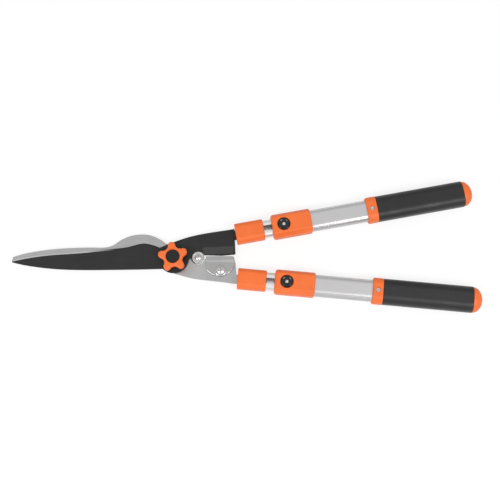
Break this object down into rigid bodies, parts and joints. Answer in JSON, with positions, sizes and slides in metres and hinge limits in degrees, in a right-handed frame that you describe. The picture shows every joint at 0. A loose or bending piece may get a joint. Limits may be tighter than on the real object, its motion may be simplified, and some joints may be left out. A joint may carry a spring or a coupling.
{
  "type": "hedge shears",
  "caption": "Hand hedge shears: long wavy blades crossing at a pivot with a star tension knob, and telescopic handles with push-button locks.",
  "frame": {"origin": "on the pivot axis, at the flat outer face of the pivot bolt's head, in the plane that the shears lie on", "axes": "+Z along the pivot axis from the bolt's head to the tension knob; +X from the pivot to the handles, along the closed tool; +Y to the coated blade's handle"},
  "size_m": [0.6766, 0.1943, 0.031],
  "materials": {
    "plain_steel": "satin, ground lengthwise",
    "coated_steel": "matt dark non-stick coating",
    "bolt_steel": "zinc plated",
    "bush_brass": "plain",
    "spring_steel": "dark, oiled",
    "washer_steel": "bright plated",
    "nut_steel": "zinc plated",
    "orange_plastic": "satin, fine grain",
    "black_cap": "semi-gloss",
    "post_steel": "turned, satin",
    "bumper_rubber": "matt",
    "bracket_steel": "pressed, satin",
    "screw_steel": "bright plated",
    "tube_aluminium": "satin drawn",
    "outer_aluminium": "satin anodised",
    "guide_nylon": "nylon",
    "grip_rubber": "soft, matt",
    "button_plastic": "semi-gloss",
    "pin_steel": "bright"
  },
  "bodies": {
    "left_half": {"plain_blade": "plain_steel", "pivot_bolt": "bolt_steel", "spring_washer": "spring_steel", "flat_washer": "washer_steel", "stop_post": "post_steel", "stop_bumper": "bumper_rubber", "stop_bracket": "bracket_steel", "bracket_screw": "screw_steel", "ferrule_left": "orange_plastic", "ferrule_screws_left": "screw_steel", "inner_tube_left": "tube_aluminium", "guide_plug_left": "guide_nylon"},
    "right_half": {"coated_blade": "coated_steel", "pivot_bush": "bush_brass", "ferrule_right": "orange_plastic", "ferrule_screws_right": "screw_steel", "inner_tube_right": "tube_aluminium", "guide_plug_right": "guide_nylon"},
    "knob": {"tension_knob": "orange_plastic", "knob_nut": "nut_steel", "knob_cap": "black_cap"},
    "left_extension": {"clamp_sleeve_left": "orange_plastic", "sleeve_screw_left": "screw_steel", "outer_tube_left": "outer_aluminium", "collar_left": "orange_plastic", "collar_screw_left": "screw_steel", "grip_left": "grip_rubber", "end_cap_left": "orange_plastic", "lock_spring_left": "spring_steel"},
    "left_lock": {"lock_button_left": "button_plastic", "lock_pin_left": "pin_steel"},
    "right_extension": {"clamp_sleeve_right": "orange_plastic", "sleeve_screw_right": "screw_steel", "outer_tube_right": "outer_aluminium", "collar_right": "orange_plastic", "collar_screw_right": "screw_steel", "grip_right": "grip_rubber", "end_cap_right": "orange_plastic", "lock_spring_right": "spring_steel"},
    "right_lock": {"lock_button_right": "button_plastic", "lock_pin_right": "pin_steel"}
  },
  "joints": [
    {"name": "blade_pivot", "type": "hinge", "parent": "left_half", "child": "right_half", "pos_m": [0, 0, 0], "axis": [0, 0, 1], "range_deg": [0, 50]},
    {"name": "knob_turn", "type": "hinge", "parent": "left_half", "child": "knob", "pos_m": [0, 0, 0], "axis": [0, 0, 1], "range_deg": [0, 360]},
    {"name": "left_handle_slide", "type": "slide", "parent": "left_half", "child": "left_extension", "axis": [0.9907, -0.1357, 0], "range_m": [0, 0.2]},
    {"name": "left_lock_press", "type": "slide", "parent": "left_extension", "child": "left_lock", "axis": [0, 0, -1], "range_m": [0, 0.0025], "stiffness_N_per_m": 900, "springref_m": -0.003, "deforming": ["lock_spring_left"]},
    {"name": "right_handle_slide", "type": "slide", "parent": "right_half", "child": "right_extension", "axis": [0.9907, 0.1357, 0], "range_m": [0, 0.2]},
    {"name": "right_lock_press", "type": "slide", "parent": "right_extension", "child": "right_lock", "axis": [0, 0, -1], "range_m": [0, 0.0025], "stiffness_N_per_m": 900, "springref_m": -0.003, "deforming": ["lock_spring_right"]}
  ]
}
